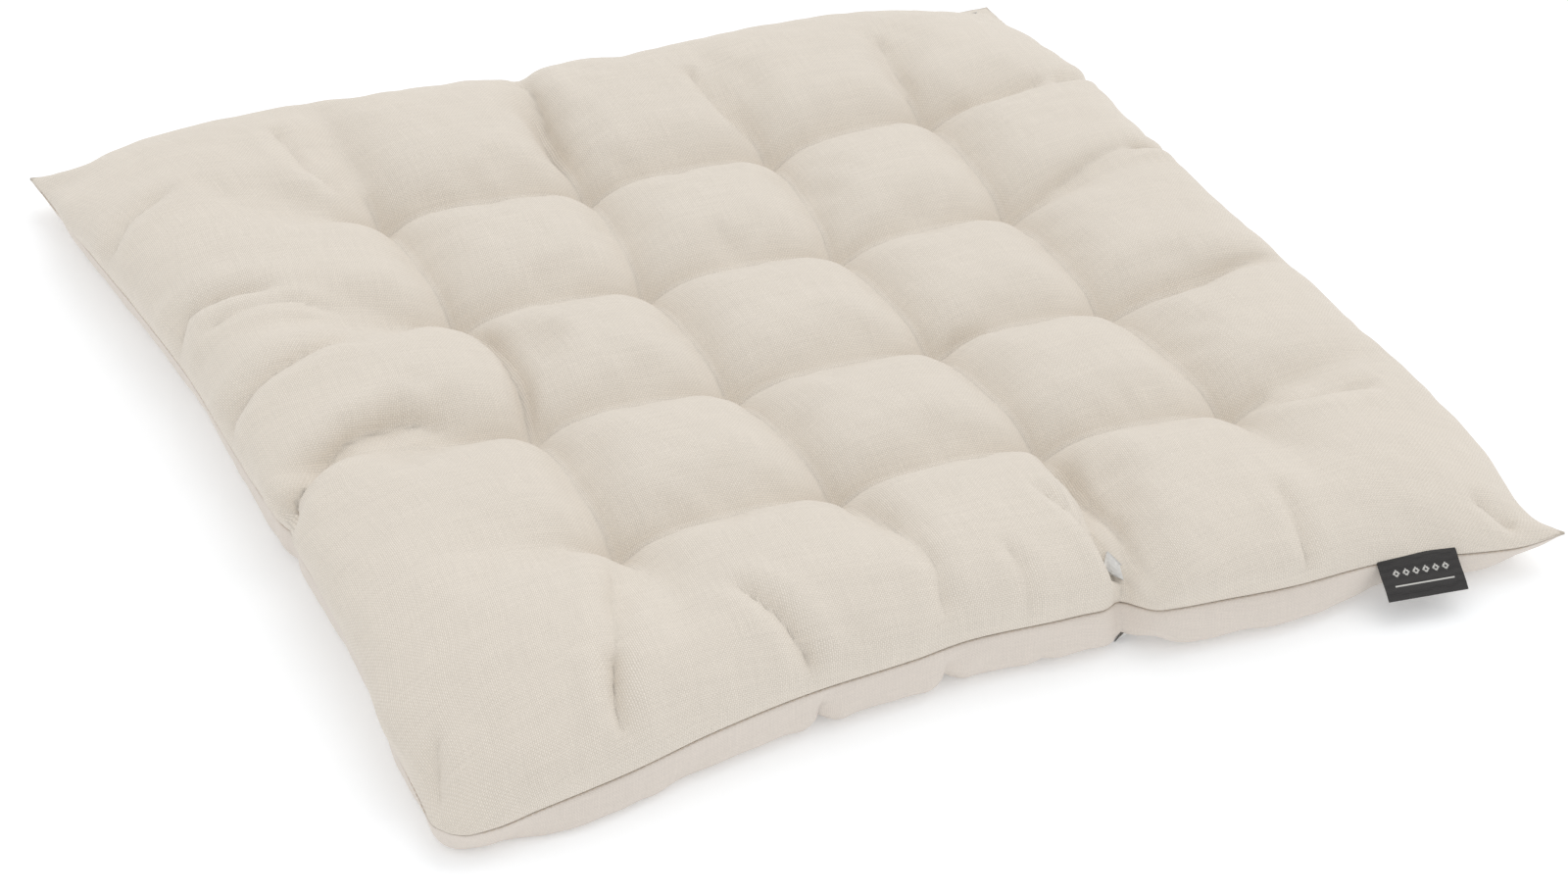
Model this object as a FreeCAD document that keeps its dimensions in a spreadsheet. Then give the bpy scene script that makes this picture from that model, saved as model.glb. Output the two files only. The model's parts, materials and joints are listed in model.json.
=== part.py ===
import FreeCAD, Part
import Sketcher
import os
from math import exp, log

# A square seat pad: two woven panels joined by one turned seam, loose fibre between them, and a
# grid of thread ties that pull the two panels together. A folded ribbon label is caught in the
# front seam and swings about it. Sizes are in millimetres. The origin lies under the middle of
# the pad on the plane it rests on, X runs to the right along the front seam, Y to the back, Z up.

doc = FreeCAD.newDocument("seat_pad")
sheet = doc.addObject("Spreadsheet::Sheet", "sizes")

driving_sizes = [
    ("pad_width", 500.0, "left corner tip to right corner tip"),
    ("pad_depth", 500.0, "front corner tip to back corner tip"),
    ("side_pull", 20.0, "how far the middle of each side pulls in from the line of its tips"),
    ("seam_height", 20.0, "rest plane to seam"),
    ("top_crown", 30.0, "seam to the fullest point of the top"),
    ("bottom_crown", 30.0, "seam to the fullest point of the underside, before the plane flattens it"),
    ("edge_fullness", 0.22, "power of the rise from the seam, smaller is rounder"),
    ("rest_softness", 0.8, "how gently the underside turns flat"),
    ("rest_overlap", 2.0, "how far the flattened underside would pass the rest plane"),
    ("cloth_thickness", 0.8, "woven canvas of both panels"),
    ("fold_gap", 1.0, "space between a panel and its turned-in edge"),
    ("seam_allowance", 10.0, "width of the turned-in edge"),
    ("stitch_inset", 1.4, "outline to the middle of the seam thread"),
    ("thread_size", 0.3, "seam thread"),
    ("thread_room", 0.1, "clearance round the seam thread"),
    ("fibre_gap", 0.3, "clearance between the fibre and what is round it"),
    ("tuft_columns", 4, "ties from left to right"),
    ("tuft_rows", 4, "ties from front to back"),
    ("tuft_pitch_x", 91.0, "tie to tie, left to right"),
    ("tuft_pitch_y", 88.0, "tie to tie, front to back"),
    ("tuft_shift_x", 9.0, "grid centre right of the pad's centre"),
    ("tuft_shift_y", -4.0, "grid centre behind the pad's centre"),
    ("tuft_spread", 26.0, "radius of the dimple round a tie"),
    ("tuft_grip", 1.12, "pull of a tie past flat, which leaves a flat bed under its stitch"),
    ("valley_spread", 15.0, "half width of the valley from tie to tie"),
    ("valley_share", 0.3, "share of the crown that a valley takes away"),
    ("tie_thickness", 1.2, "twisted tie thread"),
    ("tie_bar", 6.0, "length of the stitch that shows in the dimple"),
    ("tie_room", 0.2, "clearance between a tie and the cloth and fibre round it"),
    ("knot_size", 3.0, "knot under the pad"),
    ("label_offset", 179.5, "pad's centre to the middle of the label, along the front"),
    ("label_width", 36.0, "ribbon width"),
    ("label_reach", 18.0, "how far the label stands out past its hinge"),
    ("label_thickness", 0.8, "two layers of ribbon"),
    ("label_tail", 8.0, "ribbon caught inside the seam"),
    ("label_room", 0.05, "clearance round the caught ribbon"),
    ("label_hinge", 0.6, "seam edge to the line where the ribbon bends"),
    ("label_root", 0.4, "bending line to the stiff part of the label"),
    ("label_droop", 35.0, "angle of the label below level"),
    ("tunnel_width", 1.0, "needle path through the ribbon"),
    ("closing_length", 120.0, "turning gap in the back seam, sewn shut by hand"),
    ("closing_pitch", 5.0, "hand stitch to hand stitch"),
    ("closing_stitch_length", 3.2, "one hand stitch"),
    ("closing_thread", 0.5, "hand sewing thread"),
    ("closing_room", 0.05, "hand stitch to the seam edge"),
]
for row, (alias, value, note) in enumerate(driving_sizes, start=1):
    sheet.set(f"A{row}", note)
    sheet.set(f"B{row}", str(value))
    sheet.setAlias(f"B{row}", alias)
doc.recompute()

grid_steps = 96  # spans across a panel's surface
end_slope = 0.2  # spacing of the surface grid at the seam against an even one


def size(alias):
    return float(sheet.get(alias))


half_width = size("pad_width") / 2
half_depth = size("pad_depth") / 2
cloth = size("cloth_thickness")
rim = 2 * cloth + size("fold_gap")  # a panel and its turned-in edge, above or below the seam
seam = size("seam_height")
side_pull = size("side_pull")
top_crown = size("top_crown")
bottom_crown = size("bottom_crown")
edge_fullness = size("edge_fullness")
tuft_spread = size("tuft_spread")
tuft_grip = size("tuft_grip")
valley_spread = size("valley_spread")
valley_share = size("valley_share")
rest_softness = size("rest_softness")
rest_overlap = size("rest_overlap")
columns = int(size("tuft_columns"))
rows = int(size("tuft_rows"))

# the same rim, and the front or back edge at a distance x from the middle, for the expressions
rim_formula = "(2 * sizes.cloth_thickness + sizes.fold_gap)"
edge_formula = "(sizes.pad_depth / 2 - sizes.side_pull * (1 - (({x}) / (sizes.pad_width / 2))^2))"
turn_formula = "atan(2 * sizes.side_pull * ({x}) / (sizes.pad_width / 2)^2)"


def bind(thing, formulas):
    for name, formula in formulas.items():
        thing.setExpression(name, formula)


def part_object(kind, label, formulas):
    thing = doc.addObject(kind, label)
    thing.Label = label
    bind(thing, formulas)
    return thing


# ---- where the ties stand

def tie_x(column):
    return f"sizes.tuft_shift_x + ({column} - (sizes.tuft_columns + 1) / 2) * sizes.tuft_pitch_x"


def tie_y(row):
    return f"sizes.tuft_shift_y + ({row} - (sizes.tuft_rows + 1) / 2) * sizes.tuft_pitch_y"


column_lines = []
for column in range(1, columns + 1):
    column_lines.append(size("tuft_shift_x") + (column - (columns + 1) / 2) * size("tuft_pitch_x"))
row_lines = []
for row in range(1, rows + 1):
    row_lines.append(size("tuft_shift_y") + (row - (rows + 1) / 2) * size("tuft_pitch_y"))


# ---- the pillow form

def plan_point(u, v, inset):
    """Plan position of the surface grid: the sides pull in between the corner tips."""
    x = u * (half_width - inset - side_pull * (1 - v * v))
    y = v * (half_depth - inset - side_pull * (1 - u * u))
    return x, y


def bell(distance, spread):
    return exp(-((distance / spread) ** 2))


def fullness(u, v, x, y):
    """0 at the seam and at every tie, 1 where the pad is fullest."""
    rise = ((1 - u * u) * (1 - v * v)) ** edge_fullness
    pull = 0.0
    for tie_line_x in column_lines:
        for tie_line_y in row_lines:
            away = ((x - tie_line_x) ** 2 + (y - tie_line_y) ** 2) ** 0.5
            pull += tuft_grip * bell(away, tuft_spread)
    free = 1 - min(pull, 1.0)
    for line in column_lines:
        free *= 1 - valley_share * bell(x - line, valley_spread)
    for line in row_lines:
        free *= 1 - valley_share * bell(y - line, valley_spread)
    return rise * free


def top_height(full, lift):
    """Height of the top panel's outer face, less lift into the pad."""
    return seam + rim + (top_crown - rim) * full - lift


def bottom_height(full, lift):
    """Height of the underside plus lift into the pad. It turns flat at the rest plane: its outer
    face just past the plane, which then trims it, and what is inside by its own lift above."""
    flat = lift if lift > 0 else -rest_overlap
    hanging = seam - rim - (bottom_crown - rim) * full + lift
    return flat + rest_softness * log(1 + exp((hanging - flat) / rest_softness))


def grid_values():
    """Grid stations from -1 to 1, closer together at the seam."""
    bend = (1 - end_slope) / 2
    stations = []
    for step in range(grid_steps + 1):
        even = 2 * step / grid_steps - 1
        stations.append((1 + bend) * even - bend * even ** 3)
    return stations


knots = list(range(grid_steps - 1))
knot_counts = [4] + [1] * (grid_steps - 3) + [4]  # the surface ends on its outermost points


def crown_face(inset, height, lift):
    """A panel or fibre surface: one smooth face over the whole outline."""
    points = []
    for u in grid_values():
        line = []
        for v in grid_values():
            x, y = plan_point(u, v, inset)
            line.append(FreeCAD.Vector(x, y, height(fullness(u, v, x, y), lift)))
        points.append(line)
    surface = Part.BSplineSurface()
    surface.buildFromPolesMultsKnots(points, knot_counts, knot_counts, knots, knots,
                                     False, False, 3, 3)
    return surface.toShape()


def outline_edges(inset, z):
    """Front, right, back and left side of the outline, each from corner tip to corner tip."""
    sides = []
    for side in range(4):
        line = []
        for along in grid_values():
            u, v = [(along, -1), (1, along), (-along, 1), (-1, -along)][side]
            x, y = plan_point(u, v, inset)
            line.append(FreeCAD.Vector(x, y, z))
        curve = Part.BSplineCurve()
        curve.buildFromPolesMultsKnots(line, knot_counts, knots, False, 3)
        sides.append(curve.toShape())
    return sides


def crown_edges(face):
    """A crown's own four sides, in the order of outline_edges."""
    sides = []
    for x, y in [(0, -half_depth), (half_width, 0), (0, half_depth), (-half_width, 0)]:
        sides.append(min(face.Edges, key=lambda edge: abs(edge.CenterOfMass.x - x)
                         + abs(edge.CenterOfMass.y - y)))
    return sides


def skirt(outlines):
    """Faces that join outlines one after another."""
    faces = []
    for here, there in zip(outlines, outlines[1:]):
        for low, high in zip(here, there):
            faces.append(Part.makeRuledSurface(low, high))
    return faces


def between_crowns(first, stations, last):
    """Two crowns and the skirt that joins them; each station is an inset and a height."""
    outlines = [outline_edges(*station) for station in stations]
    return [first, last] + skirt([crown_edges(first)] + outlines + [crown_edges(last)])


def sewn_solid(faces):
    shell = Part.Shell(Part.Compound(faces).Faces)
    shell.sewShape(0.01)
    solid = Part.Solid(shell if shell.ShapeType == "Shell" else shell.Shells[0])
    if solid.Volume < 0:
        solid.reverse()
    return solid


def solid_feature(name, faces):
    thing = doc.addObject("Part::Feature", name)
    thing.Shape = sewn_solid(faces)
    return thing


def panel_skin(name, height, side):
    """One panel with its edge turned in; side is 1 above the seam and -1 below it."""
    channel = size("thread_size") / 2 + size("thread_room")
    near = size("stitch_inset") - channel
    far = size("stitch_inset") + channel
    turned = size("seam_allowance")
    section = [(0, 0), (near, 0), (near, channel), (far, channel), (far, 0),
               (turned, 0), (turned, cloth), (cloth, cloth)]
    stations = [(inset, seam + side * rise) for inset, rise in section]
    outer = crown_face(0, height, 0)
    inner = crown_face(cloth, height, cloth)
    return solid_feature(name, between_crowns(outer, stations, inner))


def fibre_skin(name):
    """The loose fibre: it fills both panels and wraps round the turned-in edges."""
    gap = size("fibre_gap")
    inset = cloth + gap
    turned = size("seam_allowance") + gap
    section = [(inset, inset), (turned, inset), (turned, -inset), (inset, -inset)]
    stations = [(distance, seam + rise) for distance, rise in section]
    upper = crown_face(inset, top_height, inset)
    lower = crown_face(inset, bottom_height, inset)
    return solid_feature(name, between_crowns(upper, stations, lower))


def seam_ring(name):
    """The lockstitch thread, a square ring that follows the outline in the seam plane."""
    half = size("thread_size") / 2
    near = size("stitch_inset") - half
    far = size("stitch_inset") + half
    stations = [(near, seam - half), (far, seam - half), (far, seam + half),
                (near, seam + half), (near, seam - half)]
    return solid_feature(name, skirt([outline_edges(*station) for station in stations]))


# ---- needle holes, the slot for the label and the rest plane

def needle_hole(column, row):
    return part_object("Part::Cylinder", f"needle_hole_{column}_{row}", {
        "Radius": "sizes.tie_thickness / 2 + sizes.tie_room",
        "Height": "2 * sizes.seam_height + sizes.top_crown",
        "Placement.Base.x": tie_x(column),
        "Placement.Base.y": tie_y(row),
        "Placement.Base.z": "-sizes.seam_height",
    })


needle_holes = []
for column in range(1, columns + 1):
    for row in range(1, rows + 1):
        needle_holes.append(needle_hole(column, row))


def cutter(name, tools):
    """Several cutting pieces as one."""
    fused = doc.addObject("Part::MultiFuse", name)
    fused.Shapes = tools
    return fused


def cut_piece(label, base, tool):
    piece = doc.addObject("Part::Cut", label)
    piece.Label = label
    piece.Base = base
    piece.Tool = tool
    return piece


# the label's own axes: X along the seam, -Y out of the pad, origin on the seam's edge
label_place = (
    "placement(vector(sizes.label_offset; -" + edge_formula + "; sizes.seam_height);"
    " rotation(vector(0; 0; 1); -" + turn_formula + "))"
).format(x="sizes.label_offset")
flap_place = label_place + (
    " * placement(vector(0; -sizes.label_hinge; 0); rotation(vector(1; 0; 0); sizes.label_droop))"
)
slot_corner = (
    " * placement(vector(-sizes.label_width / 2 - sizes.label_room; -sizes.label_hinge;"
    " -sizes.label_thickness / 2 - sizes.label_room); rotation(vector(0; 0; 1); 0))"
)
label_slot = part_object("Part::Box", "label_slot", {
    "Length": "sizes.label_width + 2 * sizes.label_room",
    "Width": "sizes.label_hinge + sizes.label_tail + sizes.label_room",
    "Height": "sizes.label_thickness + 2 * sizes.label_room",
    "Placement": label_place + slot_corner,
})
below_rest = part_object("Part::Box", "below_rest", {
    "Length": "sizes.pad_width",
    "Width": "sizes.pad_depth",
    "Height": "sizes.seam_height",
    "Placement.Base.x": "-sizes.pad_width / 2",
    "Placement.Base.y": "-sizes.pad_depth / 2",
    "Placement.Base.z": "-sizes.seam_height",
})

# ---- panels, fibre and seam thread

doc.recompute()
holes = cutter("needle_holes", needle_holes)
top_openings = cutter("top_openings", needle_holes + [label_slot])
bottom_openings = cutter("bottom_openings", needle_holes + [label_slot, below_rest])
pieces = [
    cut_piece("top_panel", panel_skin("top_skin", top_height, 1), top_openings),
    cut_piece("bottom_panel", panel_skin("bottom_skin", bottom_height, -1), bottom_openings),
    cut_piece("fibre_fill", fibre_skin("fibre_skin"), holes),
    seam_ring("seam_thread"),
]


# ---- ties

def tuft_tie(column, row):
    """A twisted thread with a bar stitch across the top dimple and a knot in the lower one."""
    name = f"tuft_tie_{column}_{row}"
    bar_height = f"sizes.seam_height + {rim_formula} + sizes.tie_thickness / 2 + sizes.tie_room"
    knot_height = f"sizes.seam_height - {rim_formula} - sizes.knot_size / 2 - sizes.tie_room"
    straight = "(sizes.tie_bar - sizes.tie_thickness)"
    here = {"Placement.Base.x": tie_x(column), "Placement.Base.y": tie_y(row)}
    leg = part_object("Part::Cylinder", name + "_leg", {
        "Radius": "sizes.tie_thickness / 2",
        "Height": f"{bar_height} - ({knot_height})",
        "Placement.Base.z": knot_height,
        **here,
    })
    bar = part_object("Part::Cylinder", name + "_bar", {
        "Radius": "sizes.tie_thickness / 2",
        "Height": straight,
        "Placement": f"placement(vector({tie_x(column)} - {straight} / 2; {tie_y(row)};"
                     f" {bar_height}); rotation(vector(0; 1; 0); 90))",
    })
    knot = part_object("Part::Sphere", name + "_knot", {
        "Radius": "sizes.knot_size / 2",
        "Placement.Base.z": knot_height,
        **here,
    })
    ends = []
    for side, sign in (("left", "-"), ("right", "+")):
        ends.append(part_object("Part::Sphere", f"{name}_{side}_end", {
            "Radius": "sizes.tie_thickness / 2",
            "Placement.Base.x": f"{tie_x(column)} {sign} {straight} / 2",
            "Placement.Base.y": tie_y(row),
            "Placement.Base.z": bar_height,
        }))
    tie = doc.addObject("Part::MultiFuse", name)
    tie.Label = name
    tie.Shapes = [leg, bar, knot] + ends
    return tie


for column in range(1, columns + 1):
    for row in range(1, rows + 1):
        pieces.append(tuft_tie(column, row))


# ---- hand stitches that close the turning gap, at the middle of the back seam

def hand_stitch(count, place):
    """One short stitch lying along the seam's edge."""
    middle = f"({place} * sizes.closing_pitch)"
    out = "sizes.closing_thread / 2 + sizes.closing_room"
    return part_object("Part::Cylinder", f"hand_stitch_{count}", {
        "Radius": "sizes.closing_thread / 2",
        "Height": "sizes.closing_stitch_length",
        "Placement": f"placement(vector({middle}; {edge_formula.format(x=middle)} + {out};"
                     f" sizes.seam_height); rotation(vector(0; 0; 1);"
                     f" {turn_formula.format(x=middle)}))"
                     " * placement(vector(-sizes.closing_stitch_length / 2; 0; 0);"
                     " rotation(vector(0; 1; 0); 90))",
    })


stitch_count = int(size("closing_length") / size("closing_pitch"))
stitches = []
for count in range(stitch_count):
    stitches.append(hand_stitch(count + 1, count - (stitch_count - 1) / 2))
closing_stitch = doc.addObject("Part::Compound", "closing_stitch")
closing_stitch.Label = "closing_stitch"
closing_stitch.Links = stitches
pieces.append(closing_stitch)


# ---- label: the tail is caught in the seam, the flap swings about the seam's edge

def profile_body(label, place, draw):
    """A body whose profile is seen along the seam and padded to both sides of the label."""
    body = doc.addObject("PartDesign::Body", label)
    body.Label = label
    body.setExpression("Placement", place)
    plane = [item for item in body.Origin.OriginFeatures if item.Role == "YZ_Plane"][0]
    sketch = body.newObject("Sketcher::SketchObject", label + "_profile")
    sketch.AttachmentSupport = [(plane, "")]
    sketch.MapMode = "FlatFace"
    draw(sketch)
    pad = body.newObject("PartDesign::Pad", label + "_pad")
    pad.Profile = sketch
    pad.Midplane = True
    pad.setExpression("Length", "sizes.label_width")
    return body


def constrain(sketch, formula, kind, *where):
    """A distance that follows the sheet."""
    value = float(sketch.evalExpression(formula))
    index = sketch.addConstraint(Sketcher.Constraint(kind, *where, value))
    sketch.setExpression(f"Constraints[{index}]", formula)


def add_box_profile(sketch, low, high, near, far, half):
    """A rectangle from low to high, near and far from the seam's edge, half a thickness up and down."""
    first = sketch.GeometryCount
    corners = [(low, -1), (high, -1), (high, 1), (low, 1)]
    for here, there in zip(corners, corners[1:] + corners[:1]):
        sketch.addGeometry(Part.LineSegment(FreeCAD.Vector(*here, 0), FreeCAD.Vector(*there, 0)))
    for side in range(4):
        sketch.addConstraint(
            Sketcher.Constraint("Coincident", first + side, 2, first + (side + 1) % 4, 1))
    for side in (0, 2):
        sketch.addConstraint(Sketcher.Constraint("Horizontal", first + side))
    for side in (1, 3):
        sketch.addConstraint(Sketcher.Constraint("Vertical", first + side))
    constrain(sketch, far, "DistanceX", -1, 1, first, 2)
    if near:
        constrain(sketch, near, "DistanceX", -1, 1, first, 1)
    else:
        sketch.addConstraint(Sketcher.Constraint("PointOnObject", first, 1, -2))
    constrain(sketch, half, "DistanceY", first, 2, -1, 1)
    constrain(sketch, half, "DistanceY", -1, 1, first + 2, 1)


def draw_tail(sketch):
    """The caught ribbon in section, with the tunnel that the seam thread passes through."""
    tail = size("label_tail")
    add_box_profile(sketch, 0, tail, None, "sizes.label_tail", "sizes.label_thickness / 2")
    inset = size("stitch_inset")
    tunnel = size("tunnel_width") / 2
    add_box_profile(sketch, inset - tunnel, inset + tunnel,
                    "sizes.stitch_inset - sizes.tunnel_width / 2",
                    "sizes.stitch_inset + sizes.tunnel_width / 2",
                    "sizes.thread_size / 2 + sizes.label_room")


def draw_flap(sketch):
    """The folded ribbon in section: two flat sides and the round fold at its free end."""
    half = size("label_thickness") / 2
    root = -size("label_root")
    turn = half - size("label_reach")
    points = [(root, half), (turn, half), (turn - half, 0), (turn, -half), (root, -half)]
    above, over, fold, under, below = [FreeCAD.Vector(*point, 0) for point in points]
    sketch.addGeometry(Part.LineSegment(above, over))
    sketch.addGeometry(Part.Arc(over, fold, under))
    sketch.addGeometry(Part.LineSegment(under, below))
    sketch.addGeometry(Part.LineSegment(below, above))
    arc_start, arc_end = 1, 2
    sketch.addConstraint(Sketcher.Constraint("Tangent", 0, 2, 1, arc_start))
    sketch.addConstraint(Sketcher.Constraint("Tangent", 1, arc_end, 2, 1))
    sketch.addConstraint(Sketcher.Constraint("Coincident", 2, 2, 3, 1))
    sketch.addConstraint(Sketcher.Constraint("Coincident", 3, 2, 0, 1))
    sketch.addConstraint(Sketcher.Constraint("Horizontal", 0))
    sketch.addConstraint(Sketcher.Constraint("Vertical", 3))
    sketch.addConstraint(Sketcher.Constraint("PointOnObject", 1, 3, -1))
    constrain(sketch, "sizes.label_thickness / 2", "Radius", 1)
    constrain(sketch, "sizes.label_root", "DistanceX", 0, 1, -1, 1)
    constrain(sketch, "sizes.label_reach - sizes.label_thickness / 2", "DistanceX", 1, 3, -1, 1)


pieces.append(profile_body("label_tail", label_place, draw_tail))
pieces.append(profile_body("label_flap", flap_place, draw_flap))
doc.recompute()

# ---- every object is checked, then each piece is written under its own name

for thing in doc.Objects:
    if "Invalid" in thing.State or "Error" in thing.State:
        raise RuntimeError(f"{thing.Name} did not build: {thing.State}")
os.makedirs("parts", exist_ok=True)
for piece in pieces:
    if piece.Shape.isNull() or not piece.Shape.isValid() or not piece.Shape.Solids:
        raise RuntimeError(f"{piece.Label} has no valid solid")
    piece.Shape.exportStep(f"parts/{piece.Label}.step")
    print(f"{piece.Label}: {len(piece.Shape.Solids)} solid, {piece.Shape.Volume / 1000:.3f} cm3")
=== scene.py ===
import json
import math

import bpy
import numpy as np
from mathutils import Matrix, Vector


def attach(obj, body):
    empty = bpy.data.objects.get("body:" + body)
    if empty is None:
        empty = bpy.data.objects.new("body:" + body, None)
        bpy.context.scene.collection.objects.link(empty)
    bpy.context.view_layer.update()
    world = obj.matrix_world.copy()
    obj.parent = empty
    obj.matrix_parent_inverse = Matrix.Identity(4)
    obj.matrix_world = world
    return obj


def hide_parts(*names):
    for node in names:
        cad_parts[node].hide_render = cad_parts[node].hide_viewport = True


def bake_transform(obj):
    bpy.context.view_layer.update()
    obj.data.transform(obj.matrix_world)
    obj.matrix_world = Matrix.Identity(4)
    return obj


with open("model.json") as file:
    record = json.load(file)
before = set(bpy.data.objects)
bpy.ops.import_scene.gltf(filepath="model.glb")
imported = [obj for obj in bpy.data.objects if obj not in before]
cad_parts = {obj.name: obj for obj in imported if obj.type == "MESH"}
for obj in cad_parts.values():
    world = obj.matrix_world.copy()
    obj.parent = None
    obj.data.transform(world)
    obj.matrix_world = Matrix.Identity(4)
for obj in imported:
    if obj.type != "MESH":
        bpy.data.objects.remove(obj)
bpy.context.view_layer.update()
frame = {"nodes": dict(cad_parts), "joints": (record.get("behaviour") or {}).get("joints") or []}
print("frame loaded:", len(frame["nodes"]), "nodes")

halfPad = 0.25

# the pad before and while it is filled, in metres
padForm = {
    "spacing": 0.0050,  # mesh step of the cloth before it is smoothed
    "gather": 1.3,  # how much the mesh closes up towards the seam
    "tieHeight": 0.0185,  # where the ties hold the two panels, above the rest plane
    "tieGap": 0.0032,  # panel to panel at a tie
    "crest": 0.0245,  # top of a cell above its ties
    "belly": 0.0195,  # underside of a cell below its ties
    "roundness": 2.3,  # of the rise from the seam
    "borderReach": 0.050,  # from the seam to the full height of the border
    "borderPower": 0.56,  # smaller is steeper at the seam
    "bellyReach": 0.024,
    "bellyPower": 0.5,
    "unevenness": 0.03,  # from cell to cell
    "topSwell": {"front": 0.0050, "right": 0.0060, "back": 0.0060, "left": 0.0100},
    "bellySwell": {"front": 0.0095, "right": 0.0060, "back": 0.0060, "left": 0.0030},
    "swellAt": 0.0070,
    "swellFrom": (0.012, 0.045),  # none nearer a corner than the first, full past both
    "labelAt": 0.18,  # the front stays flatter round the label
    "labelHalf": 0.03,
    "labelFlat": 0.8,
    "cornerFlat": [[0.075, 0.075], [0.075, 0.105]],  # run over which the corners thin out to their tips
    "cornerThin": [[0.10, 0.55], [0.50, 0.80]],  # front left and right, back left and right
    "tiePull": 0.82,  # share of the height that a tie takes away along one line
    "valleyPull": 0.53,  # the same halfway between two ties
    "tieNarrow": 2.4,  # a higher power keeps the deep part nearer the tie
    "pullReach": 0.032,  # half the width of a valley
    "narrowing": 0.5,  # how much narrower a valley gets on its way to the seam
    "bow": 0.0075,  # how far the left line of ties bends between its middle two
    "pullPower": 1.75,  # over 1, a valley is a sharp V
    "pullBlend": 2.6,
    "stub": 0.030,  # valley held out past the outer ties
    "longStub": 0.075,  # the same for a deep fold
    "deepFade": 1.2,  # a line of ties that fades slower than this makes a deep fold
    "floorSoft": 0.0016,  # rounding where the underside meets the seat
}

# how fast each line of ties fades over the border, counted from the left or the front;
# a small number is a deep fold that reaches the seam
borderFade = {
    "front": [2.6, 2.2, 0.32, 2.6],
    "back": [1.5, 0.9, 1.6, 2.0],
    "left": [3.4, 0.8, 1.5, 3.2],
    "right": [1.4, 1.0, 1.5, 1.3],
}

# how the canvas behaves while the pad is filled
clothForm = {
    "slack": 0.022,  # cut larger than it is held
    "seamSlack": 0.006,
    "pressure": 10.0,
    "tension": 10.0,
    "compression": 8.0,
    "shear": 4.0,
    "bending": 3.0,
    "frames": 28,
    "tightEdge": 0.02,  # no more slack than at the seam up to here, all of it past the next run
    "looseRun": 0.07,
    "quality": 5,
    "mass": 0.15,
    "airDamping": 4,
    "damping": (20, 20, 10, 1),  # tension, compression, shear, bending
}

# tie places from left to right, one line for each row from the front
tieRows = [
    [(-0.1280, -0.1320), (-0.0300, -0.1300), (0.0650, -0.1300), (0.1520, -0.1375)],
    [(-0.1265, -0.0445), (-0.0380, -0.0480), (0.0575, -0.0485), (0.1430, -0.0490)],
    [(-0.1250, 0.0435), (-0.0390, 0.0375), (0.0535, 0.0355), (0.1440, 0.0400)],
    [(-0.1255, 0.1305), (-0.0290, 0.1230), (0.0635, 0.1230), (0.1495, 0.1305)],
]

# the seam in millimetres: place along the side, how far inside the square, height above the seat
seamLine = {
    "front": [(-250, 1.5, 12.5), (-243, -2.5, 12.5), (-232, -2.8, 12.8), (-216, -1, 14), (-177, 3, 17),
              (-133, 11, 19.5), (-88, 17.5, 20.5), (-47, 20, 21), (-17, 23.5, 21), (26, 21.5, 21),
              (42, 21.5, 20), (50, 28.5, 18.5), (58, 15.5, 19.5), (89, 10.5, 20), (123, 8.5, 19.5),
              (157, 9.5, 19), (180, 7.6, 18.2), (205, 4.5, 16), (230, 2.5, 14), (250, 2, 16.5)],
    "right": [(-250, -1, 16.5), (-232, 4, 14.5), (-185, 4.5, 17), (-115, 8.5, 20), (-45, 9, 21),
              (20, 10.5, 21), (85, 9, 20.5), (150, 4.5, 18.5), (205, 1.5, 15), (250, 0, 12.5)],
    "back": [(-250, 1.5, 13.5), (-235, 3.5, 13.5), (-208, 5, 15), (-177, 10, 17.5), (-138, 15, 19.5),
             (-106, 17, 20.5), (-65, 20, 21), (-34, 21, 21), (-22, 25.5, 20.5), (-10, 20, 21),
             (10, 18, 21), (29, 22, 21), (45, 21, 21), (94, 16, 20.5), (134, 12, 19.5),
             (174, 8, 17.5), (216, 3, 14.5), (250, 0, 12.5)],
    "left": [(-250, 5, 12.5), (-242, 0.5, 12.5), (-230, 1.5, 12.8), (-196, 3.2, 15.5), (-154, 7.5, 18.5),
             (-108, 9, 20), (-75, 10, 20.5), (-66, 13, 20), (-56, 9.5, 20.5), (-7, 8.5, 21), (46, 9, 21),
             (103, 6.5, 20), (160, 3, 17.5), (206, 0.5, 15), (250, -2.5, 13.5)],
}

foldForm = {
    "pinch": 0.55,  # how much the cloth closes up towards a fold
    "start": 0.0020,  # no fold nearer the seam
    "blend": 0.007,
    "fadeIn": 0.3,  # shares of a path over which its fold grows and ends
    "fadeOut": 0.14,
    "sharpness": 2.2,
    "ridge": 0.20,  # the cloth stands up beside a fold
    "ridgeWidth": 0.45,
    "ripple": 0.00028,
    "rest": 0.00005,  # nothing goes below the seat
}

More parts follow.
